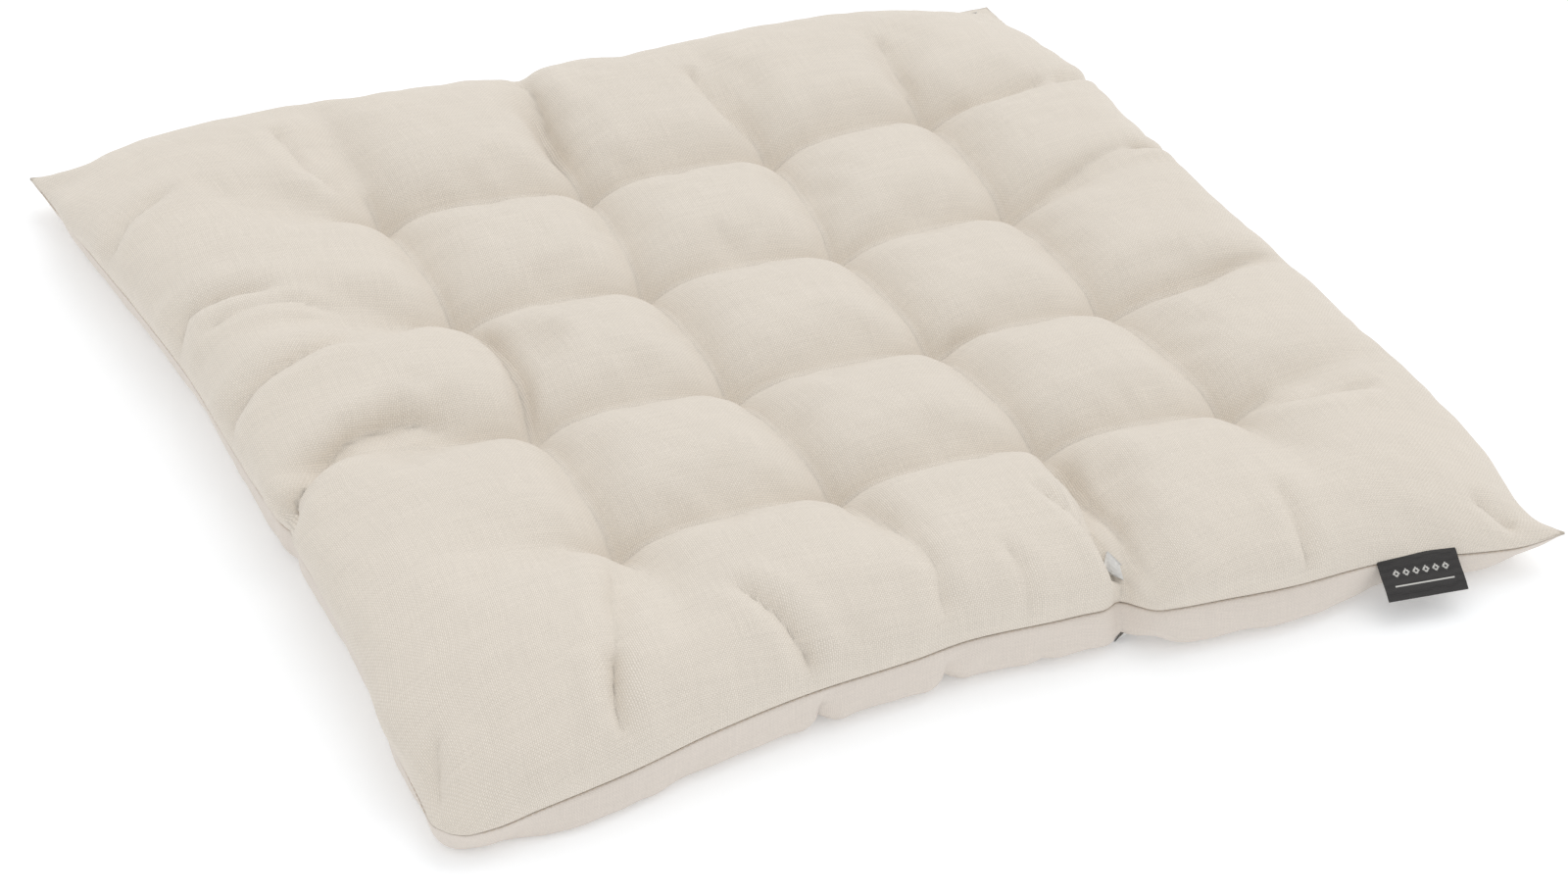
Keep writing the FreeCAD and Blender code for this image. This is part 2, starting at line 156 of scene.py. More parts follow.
# folds in the border and at the ties, millimetres: path, depth, half width
folds = [
    ([(-186, 63), (-212, 70), (-236, 74), (-247, 62), (-252, 42)], 5.5, 12),
    ([(-165, 47), (-193, 56), (-221, 56), (-238, 52)], 2.6, 8),
    ([(-170, 31), (-203, 17), (-230, 7), (-243, 0), (-252, -14)], 6.0, 12),
    ([(-150, -42), (-180, -33), (-203, -39), (-222, -49), (-238, -62), (-250, -84)], 7.5, 12),
    ([(-206, 167), (-236, 155), (-250, 140)], 3.4, 11),
    ([(-128, 136), (-146, 165), (-152, 204)], 4.0, 12),
    ([(-30, 132), (-31, 160), (-27, 190), (-22, 224)], 5.5, 13),
    ([(63, 132), (58, 152), (50, 190)], 4.0, 12),
    ([(150, 138), (152, 165), (156, 195)], 3.4, 12),
    ([(156, 131), (180, 126), (215, 132)], 3.6, 12),
    ([(150, 40), (178, 46), (205, 52), (236, 55)], 2.6, 11),
    ([(149, -50), (168, -57), (212, -46), (238, -42)], 4.0, 12),
    ([(158, -140), (178, -152), (215, -158)], 4.4, 12),
    ([(-132, -138), (-150, -180), (-162, -208), (-174, -238)], 3.4, 13),
    ([(-164, -206), (-170, -224), (-174, -244)], 4.5, 10),
    ([(-108, -184), (-95, -212), (-88, -236)], 5.5, 11),
    ([(-30, -138), (-26, -176), (-26, -206), (-30, -230)], 3.4, 11),
    ([(65, -136), (57, -168), (52, -200), (50, -232)], 9.5, 11),
    ([(34, -166), (42, -198), (46, -228)], 3.6, 8),
    ([(66, -186), (60, -206), (55, -228)], 2.6, 7),
    ([(4, -196), (8, -214), (6, -232)], 2.2, 8),
    ([(131, -200), (129, -222), (126, -246)], 3.0, 9),
    ([(214, -224), (224, -235), (232, -240)], 3.2, 9),
    ([(-236, -212), (-241, -226), (-247, -242)], 2.6, 8),
    ([(60, -48), (70, -47), (86, -50)], 2.2, 9),
    ([(-125, 42), (-119, 22), (-118, 0), (-121, -22), (-126, -44)], 3.4, 8),
    ([(210, 50), (232, 54), (248, 56)], 3.4, 8),
    ([(212, 128), (234, 134), (249, 138)], 3.4, 8),
]

# the same in the underside, along its front edge
bellyFolds = [
    ([(-172, -250), (-168, -228), (-160, -205)], 2.6, 9),
    ([(-88, -245), (-84, -225), (-76, -198)], 4.2, 9),
    ([(-30, -240), (-27, -220), (-22, -192)], 4.6, 9),
    ([(12, -236), (16, -218), (22, -200)], 2.2, 8),
    ([(50, -232), (52, -212), (56, -184)], 7.0, 10),
    ([(126, -248), (130, -226), (134, -205)], 2.4, 9),
]


def seamCurve(side, along):
    # a smooth line through the seam's points that never swings past them
    rows = np.array(seamLine[side]) / 1000
    place, value = rows[:, 0], rows[:, 1:]
    gap = np.diff(place)
    slope = np.diff(value, axis=0) / gap[:, None]
    tangent = np.zeros_like(value)
    weightA = (2 * gap[1:] + gap[:-1])[:, None]
    weightB = (gap[1:] + 2 * gap[:-1])[:, None]
    before = np.where(slope[:-1] == 0, 1e-12, slope[:-1])
    after = np.where(slope[1:] == 0, 1e-12, slope[1:])
    joined = (weightA + weightB) / (weightA / before + weightB / after)
    tangent[1:-1] = np.where(before * after > 0, joined, 0)
    tangent[0], tangent[-1] = slope[0], slope[-1]
    k = np.clip(np.searchsorted(place, along, side="right") - 1, 0, len(place) - 2)
    t = ((along - place[k]) / gap[k])[:, None]
    span = gap[k][:, None]
    return ((2 * t**3 - 3 * t**2 + 1) * value[k] + (t**3 - 2 * t**2 + t) * span * tangent[k]
            + (3 * t**2 - 2 * t**3) * value[k + 1] + (t**3 - t**2) * span * tangent[k + 1])


def latticeLines():
    columns = [-halfPad] + [sum(row[k][0] for row in tieRows) / 4 for k in range(4)] + [halfPad]
    rows = [-halfPad] + [sum(tie[1] for tie in row) / 4 for row in tieRows] + [halfPad]
    return columns, rows


def stations(lines):
    # places between lattice lines 0 to 5, closer together towards the seam
    values = [0.0]
    marks = [0]
    for k in range(5):
        steps = round((lines[k + 1] - lines[k]) / padForm["spacing"])
        share = np.arange(1, steps + 1) / steps
        if k == 0:
            share = share ** padForm["gather"]
        if k == 4:
            share = 1 - (1 - share) ** padForm["gather"]
        values += list(k + share)
        marks.append(marks[-1] + steps)
    return np.array(values), marks


def layOut():
    # the plan of the cloth grid: straight lines from tie to tie, then out to the seam
    columnLines, rowLines = latticeLines()
    across, columnMarks = stations(columnLines)
    along, rowMarks = stations(rowLines)
    table = np.array([[(x, y) for x in columnLines] for y in rowLines])
    table[1:5, 1:5] = np.array(tieRows)
    column = np.minimum(across.astype(int), 4)
    row = np.minimum(along.astype(int), 4)
    s = (across - column)[None, :, None]
    t = (along - row)[:, None, None]
    corner = [[table[(row + j)[:, None], (column + i)[None, :]] for i in (0, 1)] for j in (0, 1)]
    plan = ((corner[0][0] * (1 - s) + corner[0][1] * s) * (1 - t)
            + (corner[1][0] * (1 - s) + corner[1][1] * s) * t)
    nearFirst = np.clip(1 - abs(across - 1), 0, 1)[None, :]
    plan[..., 0] += padForm["bow"] * nearFirst * np.sin(math.pi * np.clip(along - 2, 0, 1))[:, None] ** 1.5
    x = np.interp(across, range(6), columnLines)
    y = np.interp(along, range(6), rowLines)
    sides = {"front": seamCurve("front", x), "back": seamCurve("back", x),
             "left": seamCurve("left", y), "right": seamCurve("right", y)}
    nearFront, nearBack = np.clip(1 - along, 0, 1)[:, None], np.clip(along - 4, 0, 1)[:, None]
    nearLeft, nearRight = np.clip(1 - across, 0, 1)[None, :], np.clip(across - 4, 0, 1)[None, :]
    plan[..., 1] += nearFront * sides["front"][None, :, 0] - nearBack * sides["back"][None, :, 0]
    plan[..., 0] += nearLeft * sides["left"][:, None, 0] - nearRight * sides["right"][:, None, 0]
    lift = {name: line[:, 1] - padForm["tieHeight"] for name, line in sides.items()}
    middle = (padForm["tieHeight"] + nearFront * lift["front"][None, :] + nearBack * lift["back"][None, :]
              + nearLeft * lift["left"][:, None] + nearRight * lift["right"][:, None])
    for near, name in ((nearFront, "front"), (nearBack, "back")):
        middle = middle - near * nearLeft * lift[name][0] - near * nearRight * lift[name][-1]
    return plan, middle, x, y, across, along, columnMarks, rowMarks


def tiePullAlong(place, fadeLow, fadeHigh):
    # how much a line of ties pulls down at each station along it
    depth = np.zeros(len(place))
    for k, value in enumerate(place):
        if 1 <= value <= 4:
            swing = abs(2 * (value % 1.0) - 1) ** padForm["tieNarrow"]
            depth[k] = padForm["valleyPull"] + (padForm["tiePull"] - padForm["valleyPull"]) * swing
        else:
            away, fade = (1 - value, fadeLow) if value < 1 else (value - 4, fadeHigh)
            depth[k] = padForm["tiePull"] * (1 - away) ** fade
    return depth


def fullness(distance, reach, power):
    return (1 - (1 - np.clip(distance / reach, 0, 1)) ** padForm["roundness"]) ** power


def swellOut(plan, edgeX, edgeY, swell, room):
    # the cloth stands out past the seam just above and below it, but not at the corners
    swollen = plan.copy()
    start, grow = padForm["swellFrom"]
    sides = ((0, edgeX, edgeY, "left", "right"), (1, edgeY, edgeX, "front", "back"))
    for axis, edge, other, first, last in sides:
        amount = np.where(plan[..., axis] > 0, swell[last], swell[first]) * room
        share = edge / padForm["swellAt"] * np.exp(1 - edge / padForm["swellAt"])
        away = np.clip((other - start) / grow, 0, 1)
        swollen[..., axis] += np.sign(plan[..., axis]) * amount * share * away * away * (3 - 2 * away)
    return swollen


def heldAlong(place, lines, first, last, k):
    # where the bottom of a valley is pinned: between its outer ties and a little past them
    reach = []
    for side in (first, last):
        deep = borderFade[side][k] < padForm["deepFade"]
        reach.append(padForm["longStub" if deep else "stub"])
    return (place >= lines[0] - reach[0]) & (place <= lines[-1] + reach[1])


def startShape():
    plan, middle, x, y, across, along, columnMarks, rowMarks = layOut()
    lineX, lineY = x[columnMarks][1:5], y[rowMarks][1:5]

    def valley(gap, place):
        away = np.clip(np.maximum(1 - place, place - 4), 0, 1)
        reach = padForm["pullReach"] * (1 - padForm["narrowing"] * away)
        return np.clip(1 - abs(gap)[None, :] / reach[:, None], 0, 1) ** padForm["pullPower"]

    columnPull = np.zeros(plan.shape[:2])
    rowPull = np.zeros(plan.shape[:2])
    for k in range(4):
        downColumn = tiePullAlong(along, borderFade["front"][k], borderFade["back"][k])
        downRow = tiePullAlong(across, borderFade["left"][k], borderFade["right"][k])
        columnPull = np.maximum(columnPull, downColumn[:, None] * valley(x - lineX[k], along))
        rowPull = np.maximum(rowPull, downRow[None, :] * valley(y - lineY[k], across).T)
    blend = padForm["pullBlend"]
    pull = np.minimum((columnPull**blend + rowPull**blend) ** (1 / blend), 1)
    edgeX, edgeY = (halfPad - abs(x))[None, :], (halfPad - abs(y))[:, None]
    border = padForm["borderReach"], padForm["borderPower"]
    belly = padForm["bellyReach"], padForm["bellyPower"]
    rise = fullness(edgeX, *border) * fullness(edgeY, *border)
    drop = fullness(edgeX, *belly) * fullness(edgeY, *belly)
    uneven = 1 + padForm["unevenness"] * np.sin(31 * x + 1.3)[None, :] * np.sin(27 * y + 0.4)[:, None]
    half = padForm["tieGap"] / 2
    quarter = (y > 0).astype(int)[:, None], (x > 0).astype(int)[None, :]
    corner, flat = np.array(padForm["cornerThin"])[quarter], np.array(padForm["cornerFlat"])[quarter]
    thin = 1 - corner * np.exp(-((edgeX + edgeY) / flat) ** 2)
    rise, drop = rise * thin, drop * thin
    byLabel = np.exp(-((x - padForm["labelAt"]) / padForm["labelHalf"]) ** 2)[None, :]
    labelRoom = 1 - padForm["labelFlat"] * byLabel * (y < 0)[:, None]
    topPlan = swellOut(plan, edgeX, edgeY, padForm["topSwell"], labelRoom)
    lowPlan = swellOut(plan, edgeX, edgeY, padForm["bellySwell"], labelRoom)
    top = np.dstack([topPlan, middle + half * rise + padForm["crest"] * np.maximum(rise * uneven - pull, 0)])
    low = np.dstack([lowPlan, middle - half * drop - padForm["belly"] * np.maximum(drop - pull, 0)])
    held = np.zeros(plan.shape[:2], bool)
    held[0] = held[-1] = held[:, 0] = held[:, -1] = True
    for k in range(4):
        held[heldAlong(y, lineY, "front", "back", k), columnMarks[k + 1]] = True
        held[rowMarks[k + 1], heldAlong(x, lineX, "left", "right", k)] = True
    return top, low, held, x, y


def addPiece(name, points, faces):
    mesh = bpy.data.meshes.new(name)
    mesh.from_pydata(points.tolist(), [], faces.tolist())
    piece = bpy.data.objects.new(name, mesh)
    bpy.context.collection.objects.link(piece)
    return piece


def gridFaces(index):
    corners = (index[:-1, :-1], index[:-1, 1:], index[1:, 1:], index[1:, :-1])
    return np.stack([c.ravel() for c in corners], axis=1)


def fillPad(top, low, held, x, y):
    # both panels share the seam; the filling is air pressure, and the ties and seam are pinned
    rows, columns = held.shape
    topIndex = np.arange(rows * columns).reshape(rows, columns)
    free = np.zeros(held.shape, bool)
    free[1:-1, 1:-1] = True
    lowIndex = topIndex.copy()
    lowIndex[free] = rows * columns + np.arange(free.sum())
    points = np.concatenate([top.reshape(-1, 3), low[free]])
    faces = np.concatenate([gridFaces(topIndex), gridFaces(lowIndex)[:, ::-1]])
    cloth = addPiece("cloth", points, faces)
    mesh = cloth.data
    pinned = cloth.vertex_groups.new(name="pinned")
    pinned.add([int(k) for k in np.concatenate([topIndex[held], lowIndex[held]])], 1.0, "REPLACE")
    edge = np.minimum(halfPad - abs(x)[None, :], halfPad - abs(y)[:, None])
    share = clothForm["seamSlack"] / clothForm["slack"]
    inner = np.clip((edge - clothForm["tightEdge"]) / clothForm["looseRun"], 0, 1)
    loose = share + (1 - share) * inner
    tight = cloth.vertex_groups.new(name="tight")
    for grid in (topIndex, lowIndex):
        for number, value in zip(grid.ravel(), loose.ravel()):
            tight.add([int(number)], float(1 - value), "REPLACE")
    modifier = cloth.modifiers.new("Cloth", "CLOTH")
    settings = modifier.settings
    settings.quality = clothForm["quality"]
    settings.mass = clothForm["mass"]
    settings.air_damping = clothForm["airDamping"]
    settings.bending_model = "ANGULAR"
    for name, damping in zip(("tension", "compression", "shear", "bending"), clothForm["damping"]):
        setattr(settings, name + "_stiffness", clothForm[name])
        setattr(settings, name + "_damping", damping)
    settings.use_pressure = True
    settings.uniform_pressure_force = clothForm["pressure"]
    settings.vertex_group_shrink = "tight"
    settings.shrink_min = -clothForm["slack"]
    settings.shrink_max = 0
    settings.vertex_group_mass = "pinned"
    settings.effector_weights.gravity = 0
    modifier.collision_settings.use_collision = False
    modifier.point_cache.frame_start = 1
    modifier.point_cache.frame_end = clothForm["frames"]
    scene = bpy.context.scene
    for number in range(1, clothForm["frames"] + 1):
        scene.frame_set(number)
    shaped = cloth.evaluated_get(bpy.context.evaluated_depsgraph_get()).to_mesh()
    result = np.zeros(len(points) * 3)
    shaped.vertices.foreach_get("co", result)
    scene.frame_set(1)
    bpy.data.objects.remove(cloth)
    bpy.data.meshes.remove(mesh)
    result = result.reshape(-1, 3)
    return result[topIndex], result[lowIndex], result, faces


def restOnSeat(points):
    # the underside flattens where it lies on the seat
    z = points[..., 2]
    points[..., 2] = 0.5 * (z + np.sqrt(z * z + padForm["floorSoft"] ** 2))
    return points


def clothRun(grid):
    # metres of cloth from the middle of the pad, along each thread direction
    def smooth(lengths, axis, reach=6):
        total = np.zeros_like(lengths)
        for shift in range(-reach, reach + 1):
            place = np.clip(np.arange(lengths.shape[axis]) + shift, 0, lengths.shape[axis] - 1)
            total += np.take(lengths, place, axis=axis)
        return total / (2 * reach + 1)

    run = np.zeros(grid.shape[:2] + (2,))
    acrossStep = smooth(np.linalg.norm(np.diff(grid, axis=1), axis=2), 0)
    alongStep = smooth(np.linalg.norm(np.diff(grid, axis=0), axis=2), 1)
    run[:, 1:, 0] = np.cumsum(acrossStep, axis=1)
    run[1:, :, 1] = np.cumsum(alongStep, axis=0)
    run[..., 0] -= run[:, run.shape[1] // 2, 0][:, None]
    run[..., 1] -= run[run.shape[0] // 2, :, 1][None, :]
    return run


seamForm = {
    "lip": 0.0011,  # from the seam to the start of the turned edge
    "dip": 0.0004,  # how far the joint lies inside the lips
    "turnIn": 0.0085,  # seam allowance
    "turnedAt": 0.0026,  # from the joint to the first line of the turned edge
    "turnedLift": (0.0004, 0.0005),  # off the other panel, at that line and at the raw edge
    "trimmed": 0.022,  # the allowance is cut away towards the corners over this run
    "trimmedTo": 0.08,
    "split": 0.00012,  # half the gap between the two panels
    "canvas": 0.0006,
    "valleyCrease": 0.5,
}


def outward(loop):
    ahead = np.roll(loop, -1, axis=0) - np.roll(loop, 1, axis=0)
    ahead[:, 2] = 0
    ahead /= np.linalg.norm(ahead, axis=1)[:, None]
    return np.stack([ahead[:, 1], -ahead[:, 0], np.zeros(len(loop))], axis=1)


def borderLoop(rows, columns):
    index = np.arange(rows * columns).reshape(rows, columns)
    return np.concatenate([index[0, :-1], index[:-1, -1], index[-1, :0:-1], index[:0:-1, 0]])


def addLip(grid, run):
    # one more line close to the seam on every side, so that the edge turns in sharply
    def split(values, axis):
        first, second = np.take(values, [0], axis=axis), np.take(values, [1], axis=axis)
        last, before = np.take(values, [-1], axis=axis), np.take(values, [-2], axis=axis)
        body = np.take(values, range(1, values.shape[axis] - 1), axis=axis)
        return first, second, body, before, last

    for axis in (0, 1):
        first, second, body, before, last = split(grid, axis)
        near = np.clip(seamForm["lip"] / np.linalg.norm(second - first, axis=2, keepdims=True), 0, 0.6)
        far = np.clip(seamForm["lip"] / np.linalg.norm(before - last, axis=2, keepdims=True), 0, 0.6)
        grid = np.concatenate([first, first + (second - first) * near, body,
                               last + (before - last) * far, last], axis=axis)
        first, second, body, before, last = split(run, axis)
        run = np.concatenate([first, first + (second - first) * near, body,
                              last + (before - last) * far, last], axis=axis)
    return grid, run


def writeRun(mesh, layer, place):
    # thread directions for the weave, one place for each point of the mesh
    corners = np.zeros(len(mesh.loops), int)
    mesh.loops.foreach_get("vertex_index", corners)
    layer.data.foreach_set("uv", place[corners].astype(np.float32).ravel())


def sewPanel(name, grid, run, side, creased):
    # a panel with its seam allowance turned in; side is 1 for the top and -1 for the underside
    grid, run = addLip(grid, run)
    rows, columns = grid.shape[:2]
    points = grid.reshape(-1, 3).copy()
    place = run.reshape(-1, 2)
    border = borderLoop(rows, columns)
    seam = points[border].copy()
    out = outward(seam)
    up = np.array([0, 0, side])
    points[border] = seam - out * seamForm["dip"] + up * seamForm["split"]
    toCorner = halfPad - abs(seam[:, :2]).min(axis=1)
    trim = np.clip(toCorner / seamForm["trimmed"], seamForm["trimmedTo"], 1)[:, None]
    turned = seam - out * seamForm["turnedAt"] * trim + up * seamForm["turnedLift"][0] * trim
    hidden = seam - out * seamForm["turnIn"] * trim + up * seamForm["turnedLift"][1] * trim
    count = len(points)
    ring = np.arange(len(border))
    faces = gridFaces(np.arange(rows * columns).reshape(rows, columns))
    after = np.roll(ring, -1)
    firstRing = np.stack([border[after], border[ring], count + ring, count + after], axis=1)
    secondRing = np.stack([count + after, count + ring, count + len(ring) + ring,
                           count + len(ring) + after], axis=1)
    faces = np.concatenate([faces, firstRing, secondRing])
    if side < 0:
        faces = faces[:, ::-1]
    points = np.concatenate([points, turned, hidden])
    inward = np.array([[0.0, 0.003], [0.0, 0.009]])
    place = np.concatenate([place, place[border] + inward[0], place[border] + inward[1]])
    panel = addPiece(name, points, faces)
    mesh = panel.data
    writeRun(mesh, mesh.uv_layers.new(name="clothRun"), place)
    ends = np.zeros(len(mesh.edges) * 2, int)
    mesh.edges.foreach_get("vertices", ends)
    onLine = np.zeros(len(points), bool)
    onLine[:rows * columns] = np.pad(creased[1:-1, 1:-1], 2).ravel()
    sharp = mesh.attributes.new("crease_edge", "FLOAT", "EDGE")
    both = onLine[ends.reshape(-1, 2)].all(axis=1)
    sharp.data.foreach_set("value", both * seamForm["valleyCrease"])
    return panel


def useOnly(piece):
    bpy.ops.object.select_all(action="DESELECT")
    piece.select_set(True)
    bpy.context.view_layer.objects.active = piece


def applyModifier(piece, kind, **settings):
    useOnly(piece)
    modifier = piece.modifiers.new(kind.title(), kind)
    for name, value in settings.items():
        setattr(modifier, name, value)
    bpy.ops.object.modifier_apply(modifier=modifier.name)


def readVectors(mesh, kind):
    # kind is co for the points or normal for their normals
    values = np.zeros(len(mesh.vertices) * 3)
    mesh.vertices.foreach_get(kind, values)
    return values.reshape(-1, 3)


def lengthAlong(path):
    return np.concatenate([[0], np.cumsum(np.linalg.norm(np.diff(path, axis=0), axis=1))])


def closeLoop(loop):
    return np.concatenate([loop, loop[:1]])


def distanceTo(path, plan):
    # from a path given in millimetres: distance, share of it passed, and the way to its nearest place
    path = np.array(path) / 1000
    length = lengthAlong(path)
    best = np.full(len(plan), 1e9)
    passed = np.zeros(len(plan))
    towards = np.zeros_like(plan)
    for k in range(len(path) - 1):
        step = path[k + 1] - path[k]
        t = np.clip(((plan - path[k]) @ step) / (step @ step), 0, 1)
        offset = path[k] + t[:, None] * step - plan
        gap = np.linalg.norm(offset, axis=1)
        closer = gap < best
        towards = np.where(closer[:, None], offset, towards)
        best = np.where(closer, gap, best)
        passed = np.where(closer, (length[k] + t * (length[k + 1] - length[k])) / length[-1], passed)
    return best, passed, towards


def foldCloth(piece, lines, seam, side, deeper=1.0):
    # side is 1 for folds in the top and -1 for folds in the underside
    mesh = piece.data
    points = readVectors(mesh, "co")
    normals = readVectors(mesh, "normal")
    push = np.zeros(len(points))
    draw = np.zeros((len(points), 2))
    for path, depth, width in lines:
        gap, passed, towards = distanceTo(path, points[:, :2])
        across = gap / (width / 1000 * math.sqrt(deeper))
        ends = np.minimum(passed / foldForm["fadeIn"], (1 - passed) / foldForm["fadeOut"])
        ends = np.clip(ends, 0, 1)
        ends = ends * ends * (3 - 2 * ends)
        ridge = foldForm["ridge"] * np.exp(-((across - 1.0) / foldForm["ridgeWidth"]) ** 2)
        groove = np.clip(1 - across, 0, 1) ** foldForm["sharpness"] - ridge
        push += deeper * depth / 1000 * ends * groove
        pinch = foldForm["pinch"] * ends * np.clip(1 - across, 0, 1) ** 2
        draw += pinch[:, None] * towards
    x, y = points[:, 0], points[:, 1]
    ripple = foldForm["ripple"] * np.sin(210 * x + 3 * np.sin(60 * y))
    push += ripple * np.sin(170 * y + 2 * np.sin(75 * x))
    fromSeam = distanceTo(closeLoop(seam) * 1000, points)[0]
    awayFromSeam = np.clip((fromSeam - foldForm["start"]) / foldForm["blend"], 0, 1)
    ownSide = np.clip(4 * side * normals[:, 2] + 1.5, 0, 1)
    reach = awayFromSeam * ownSide
    points -= normals * (push * reach)[:, None]
    points[:, :2] += draw * reach[:, None]
    points[:, 2] = np.maximum(points[:, 2], foldForm["rest"])
    mesh.vertices.foreach_set("co", points.ravel())
    mesh.update()


def makePanels(top, low, held, seam):
    pieces = []
    for name, grid, side in (("top_canvas", top, 1), ("under_canvas", low, -1)):
        panel = sewPanel(name, grid, clothRun(grid), side, held)
        applyModifier(panel, "SUBSURF", levels=1, render_levels=1)
        foldCloth(panel, folds if side > 0 else bellyFolds, seam, side)
        applyModifier(panel, "SOLIDIFY", thickness=seamForm["canvas"], offset=-1)
        useOnly(panel)
        bpy.ops.object.shade_smooth()
        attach(panel, "cushion")
        pieces.append(panel)
    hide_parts("top_panel")
    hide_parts("bottom_panel")
    return pieces


coreForm = {
    "clear": 0.0032,  # inside the canvas
    "edgeClear": 0.0065,  # further in, close to the seam
    "edgeReach": 0.022,
    "seamClear": 0.013,
    "corner": 0.234,  # it stays out of the ears
    "cornerDraw": 0.95,  # share of what would be past that, drawn back in
    "deeper": 1.6,  # its folds against those of the canvas
}


def makeFibre(points, faces, seamPlaces):
    # the wadding fills the pad just inside its canvas
    core = addPiece("fibre_core", points, faces)
    mesh = core.data
    seam = points[seamPlaces]
    fromSeam = distanceTo(closeLoop(seam) * 1000, points)[0]
    clear = coreForm["clear"] + coreForm["edgeClear"] * np.exp(-(fromSeam / coreForm["edgeReach"]) ** 2)
    moved = points - readVectors(mesh, "normal") * clear[:, None]
    moved[seamPlaces] = seam - outward(seam) * coreForm["seamClear"]
    past = np.maximum(abs(moved[:, :2]) - coreForm["corner"], 0)
    moved[:, :2] -= np.sign(moved[:, :2]) * past * coreForm["cornerDraw"]
    mesh.vertices.foreach_set("co", moved.ravel())
    mesh.update()
    foldCloth(core, folds, seam, 1, coreForm["deeper"])
    foldCloth(core, bellyFolds, seam, -1, coreForm["deeper"])
    useOnly(core)
    bpy.ops.object.shade_smooth()
    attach(core, "cushion")
    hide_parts("fibre_fill")
    return core


stitchForm = {
    "pitch": 0.0030,
    "length": 0.0024,
    "radius": 0.00014,
    "inside": 0.00032,  # how far the thread lies inside the seam
    "toCorner": 0.234,  # the ears hide the last stitches
    "endShare": 0.35,  # this share of its length from its middle, a stitch dives into the cloth
    "endDip": 1.2,  # radii
    "tieLength": 0.0062,
    "tieRadius": 0.00042,
    "tieTurn": (0.5, 0.12, 0.21),  # radians: all ties, from strand to strand, from tie to tie
    "strandApart": 0.00055,
    "strandLift": 0.0004,
    "closingLength": 0.12,
    "closingPitch": 0.005,
    "closingSpan": 0.0034,
    "closingRadius": 0.00026,
    "closingLean": (0.2, 0.35),  # by turns
    "closingOut": 0.0002,
}


def modelStitch(name, length, radius):
    # one stitch: thick in its middle, its ends diving into the cloth
    bpy.ops.object.select_all(action="DESELECT")
    bpy.ops.mesh.primitive_uv_sphere_add(segments=6, ring_count=6, radius=1, rotation=(0, math.pi / 2, 0))
    stitch = bpy.context.object
    stitch.name = name
    bpy.ops.object.transform_apply(location=True, rotation=True, scale=True)
    stitch.data.transform(Matrix.Diagonal((length / 2, radius, radius, 1)))
    bpy.ops.object.mode_set(mode="EDIT")
    bpy.ops.mesh.select_all(action="DESELECT")
    bpy.ops.object.mode_set(mode="OBJECT")
    for vertex in stitch.data.vertices:
        vertex.select = abs(vertex.co.x) > stitchForm["endShare"] * length
    bpy.ops.object.mode_set(mode="EDIT")
    bpy.ops.transform.translate(value=(0, 0, -stitchForm["endDip"] * radius))
    bpy.ops.object.mode_set(mode="OBJECT")
    return stitch


def copyAlong(source, places, name):
    # the same piece at each place, joined under one name
    copies = []
    for matrix in places:
        copy = source.copy()
        copy.data = source.data.copy()
        copy.data.transform(matrix)
        bpy.context.collection.objects.link(copy)
        copies.append(copy)
    bpy.data.objects.remove(source)
    bpy.ops.object.select_all(action="DESELECT")
    for copy in copies:
        copy.select_set(True)
    bpy.context.view_layer.objects.active = copies[0]
    if len(copies) > 1:
        bpy.ops.object.join()
    joined = bpy.context.object
    joined.name = name
    bpy.ops.object.shade_smooth()
    return joined


def turnTo(forward, up, place):
    # x runs along forward, z points near up
    forward = Vector(forward).normalized()
    side = Vector(up).cross(forward).normalized()
    lift = forward.cross(side)
    return Matrix(((forward.x, side.x, lift.x, place[0]), (forward.y, side.y, lift.y, place[1]),
                   (forward.z, side.z, lift.z, place[2]), (0, 0, 0, 1)))


def walkLoop(loop, pitch):
    # even steps round the seam: place and direction
    closed = closeLoop(loop)
    length = lengthAlong(closed)
    count = int(length[-1] / pitch)
    at = (np.arange(count) + 0.5) * length[-1] / count
    places = np.stack([np.interp(at, length, closed[:, k]) for k in range(3)], axis=1)
    return places, np.roll(places, -1, axis=0) - np.roll(places, 1, axis=0)


def makeSeamStitches(seam):
    # the panels' edges are rounded once by their subdivision, so the seam is too
    smooth = (np.roll(seam, 1, axis=0) + 6 * seam + np.roll(seam, -1, axis=0)) / 8
    places, ahead = walkLoop(smooth - outward(smooth) * stitchForm["inside"], stitchForm["pitch"])
    matrices = []
    for place, direction in zip(places, ahead):
        if abs(place[:2]).min() > stitchForm["toCorner"]:
            continue
        out = Vector((direction[1], -direction[0], 0)).normalized()
        matrices.append(turnTo(direction, out, place))
    stitch = modelStitch("seam_stitch", stitchForm["length"], stitchForm["radius"])
    stitches = copyAlong(stitch, matrices, "seam_stitches")
    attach(stitches, "cushion")
    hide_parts("seam_thread")
    return stitches


